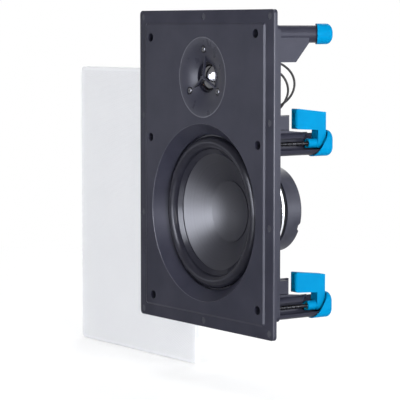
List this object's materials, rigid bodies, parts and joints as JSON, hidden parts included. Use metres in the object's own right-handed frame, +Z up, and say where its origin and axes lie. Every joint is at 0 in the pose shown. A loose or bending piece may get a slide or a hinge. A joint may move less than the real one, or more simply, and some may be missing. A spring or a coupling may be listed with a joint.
{
  "type": "in-wall speaker",
  "caption": "Flush two-way in-wall loudspeaker with a recessed woofer, a dome tweeter in a shallow waveguide, swing-out wall clamps and a magnetic perforated cover.",
  "frame": {"origin": "centre of the rear face of the flange, which lies on the wall", "axes": "+X to the right and +Z up as seen from the room, +Y into the wall"},
  "size_m": [0.471, 0.09, 0.3715],
  "materials": {
    "frame_plastic": "fine satin texture",
    "clamp_blue": "smooth moulded",
    "screw_steel": "zinc plated",
    "black_steel": "black finish",
    "cover_paint": "matt white paint on perforated sheet",
    "basket_paint": "black paint",
    "surround_rubber": "satin",
    "cone_grey": "metallic sheen",
    "coil_copper": "wound wire",
    "spider_cloth": "impregnated cloth",
    "zinc": "bright zinc plate",
    "ferrite": "ground",
    "boot_rubber": "satin",
    "fibre_board": "plain",
    "braid": "braided",
    "dome_metal": "bright drawn foil",
    "board_green": "solder mask",
    "film_yellow": "wrapped film",
    "cement": "cast",
    "lead_grey": "insulated wire",
    "button_red": "smooth moulded",
    "button_black": "smooth moulded"
  },
  "bodies": {
    "frame": {"baffle_frame": "frame_plastic", "grille_magnets": "zinc", "grille": "cover_paint", "woofer_basket": "basket_paint", "woofer_gasket": "surround_rubber", "woofer_screws": "black_steel", "woofer_surround": "surround_rubber", "spider": "spider_cloth", "woofer_front_plate": "zinc", "woofer_magnet": "ferrite", "woofer_yoke": "zinc", "magnet_boot": "boot_rubber", "woofer_terminal_strip": "fibre_board", "tinsel_leads": "braid", "tweeter_waveguide": "frame_plastic", "tweeter_screws": "black_steel", "tweeter_surround": "surround_rubber", "tweeter_front_plate": "zinc", "tweeter_magnet": "zinc", "tweeter_cup": "zinc", "tweeter_terminals": "braid", "crossover_board": "board_green", "crossover_screws": "screw_steel", "crossover_inductor": "coil_copper", "crossover_capacitors": "film_yellow", "crossover_resistor": "cement", "terminal_block": "button_black", "woofer_leads": "lead_grey", "tweeter_leads": "lead_grey", "tower_cap_top_left": "clamp_blue", "tower_cap_middle_left": "clamp_blue", "tower_cap_bottom_left": "clamp_blue", "tower_cap_top_right": "clamp_blue", "tower_cap_middle_right": "clamp_blue", "tower_cap_bottom_right": "clamp_blue"},
    "cone": {"woofer_cone": "cone_grey", "woofer_dust_cap": "cone_grey", "voice_coil": "coil_copper"},
    "dome": {"tweeter_dome": "dome_metal", "tweeter_coil": "coil_copper"},
    "red_button": {"terminal_button_red": "button_red"},
    "black_button": {"terminal_button_black": "button_black"},
    "screw_top_left": {"clamp_screw_top_left": "screw_steel"},
    "nut_top_left": {"clamp_nut_top_left": "braid"},
    "leg_top_left": {"dog_leg_top_left": "clamp_blue"},
    "screw_middle_left": {"clamp_screw_middle_left": "screw_steel"},
    "nut_middle_left": {"clamp_nut_middle_left": "braid"},
    "leg_middle_left": {"dog_leg_middle_left": "clamp_blue"},
    "screw_bottom_left": {"clamp_screw_bottom_left": "screw_steel"},
    "nut_bottom_left": {"clamp_nut_bottom_left": "braid"},
    "leg_bottom_left": {"dog_leg_bottom_left": "clamp_blue"},
    "screw_top_right": {"clamp_screw_top_right": "screw_steel"},
    "nut_top_right": {"clamp_nut_top_right": "braid"},
    "leg_top_right": {"dog_leg_top_right": "clamp_blue"},
    "screw_middle_right": {"clamp_screw_middle_right": "screw_steel"},
    "nut_middle_right": {"clamp_nut_middle_right": "braid"},
    "leg_middle_right": {"dog_leg_middle_right": "clamp_blue"},
    "screw_bottom_right": {"clamp_screw_bottom_right": "screw_steel"},
    "nut_bottom_right": {"clamp_nut_bottom_right": "braid"},
    "leg_bottom_right": {"dog_leg_bottom_right": "clamp_blue"}
  },
  "joints": [
    {"name": "screw_turn_top_left", "type": "hinge", "parent": "frame", "child": "screw_top_left", "pos_m": [-0.0895, 0.04, 0.1273], "axis": [0, 1, 0], "continuous": true},
    {"name": "nut_travel_top_left", "type": "slide", "parent": "frame", "child": "nut_top_left", "axis": [0, -1, 0], "range_m": [0, 0.018]},
    {"name": "leg_swing_top_left", "type": "hinge", "parent": "nut_top_left", "child": "leg_top_left", "pos_m": [-0.0895, 0.06, 0.1273], "axis": [0, 1, 0], "range_deg": [0, 90]},
    {"name": "screw_turn_middle_left", "type": "hinge", "parent": "frame", "child": "screw_middle_left", "pos_m": [-0.0895, 0.04, 0.0277], "axis": [0, 1, 0], "continuous": true},
    {"name": "nut_travel_middle_left", "type": "slide", "parent": "frame", "child": "nut_middle_left", "axis": [0, -1, 0], "range_m": [0, 0.018]},
    {"name": "leg_swing_middle_left", "type": "hinge", "parent": "nut_middle_left", "child": "leg_middle_left", "pos_m": [-0.0895, 0.06, 0.0277], "axis": [0, 1, 0], "range_deg": [0, 90]},
    {"name": "screw_turn_bottom_left", "type": "hinge", "parent": "frame", "child": "screw_bottom_left", "pos_m": [-0.0856, 0.04, -0.1315], "axis": [0, 1, 0], "continuous": true},
    {"name": "nut_travel_bottom_left", "type": "slide", "parent": "frame", "child": "nut_bottom_left", "axis": [0, -1, 0], "range_m": [0, 0.018]},
    {"name": "leg_swing_bottom_left", "type": "hinge", "parent": "nut_bottom_left", "child": "leg_bottom_left", "pos_m": [-0.0856, 0.06, -0.1315], "axis": [0, 1, 0], "range_deg": [0, 90]},
    {"name": "screw_turn_top_right", "type": "hinge", "parent": "frame", "child": "screw_top_right", "pos_m": [0.0856, 0.04, 0.1315], "axis": [0, 1, 0], "continuous": true},
    {"name": "nut_travel_top_right", "type": "slide", "parent": "frame", "child": "nut_top_right", "axis": [0, -1, 0], "range_m": [0, 0.018]},
    {"name": "leg_swing_top_right", "type": "hinge", "parent": "nut_top_right", "child": "leg_top_right", "pos_m": [0.0856, 0.06, 0.1315], "axis": [0, 1, 0], "range_deg": [0, 90]},
    {"name": "screw_turn_middle_right", "type": "hinge", "parent": "frame", "child": "screw_middle_right", "pos_m": [0.0895, 0.04, 0.0277], "axis": [0, 1, 0], "continuous": true},
    {"name": "nut_travel_middle_right", "type": "slide", "parent": "frame", "child": "nut_middle_right", "axis": [0, -1, 0], "range_m": [0, 0.018]},
    {"name": "leg_swing_middle_right", "type": "hinge", "parent": "nut_middle_right", "child": "leg_middle_right", "pos_m": [0.0895, 0.06, 0.0277], "axis": [0, 1, 0], "range_deg": [0, 90]},
    {"name": "screw_turn_bottom_right", "type": "hinge", "parent": "frame", "child": "screw_bottom_right", "pos_m": [0.0895, 0.04, -0.1273], "axis": [0, 1, 0], "continuous": true},
    {"name": "nut_travel_bottom_right", "type": "slide", "parent": "frame", "child": "nut_bottom_right", "axis": [0, -1, 0], "range_m": [0, 0.018]},
    {"name": "leg_swing_bottom_right", "type": "hinge", "parent": "nut_bottom_right", "child": "leg_bottom_right", "pos_m": [0.0895, 0.06, -0.1273], "axis": [0, 1, 0], "range_deg": [0, 90]},
    {"name": "cone_travel", "type": "slide", "parent": "frame", "child": "cone", "axis": [0, 1, 0], "range_m": [-0.004, 0.004], "stiffness_N_per_m": 1000, "deforming": ["woofer_surround", "spider", "tinsel_leads"]},
    {"name": "dome_travel", "type": "slide", "parent": "frame", "child": "dome", "axis": [0, 1, 0], "range_m": [-0.0003, 0.0003], "stiffness_N_per_m": 2000, "deforming": ["tweeter_surround"]},
    {"name": "red_button_press", "type": "slide", "parent": "frame", "child": "red_button", "axis": [0, -1, 0], "range_m": [0, 0.003], "stiffness_N_per_m": 300},
    {"name": "black_button_press", "type": "slide", "parent": "frame", "child": "black_button", "axis": [0, -1, 0], "range_m": [0, 0.003], "stiffness_N_per_m": 300}
  ],
  "couplings": [
    {"joint": "nut_travel_top_left", "follows": "leg_swing_top_left", "m_per_rad": 0.011459},
    {"joint": "nut_travel_middle_left", "follows": "leg_swing_middle_left", "m_per_rad": 0.011459},
    {"joint": "nut_travel_bottom_left", "follows": "leg_swing_bottom_left", "m_per_rad": 0.011459},
    {"joint": "nut_travel_top_right", "follows": "leg_swing_top_right", "m_per_rad": 0.011459},
    {"joint": "nut_travel_middle_right", "follows": "leg_swing_middle_right", "m_per_rad": 0.011459},
    {"joint": "nut_travel_bottom_right", "follows": "leg_swing_bottom_right", "m_per_rad": 0.011459}
  ]
}
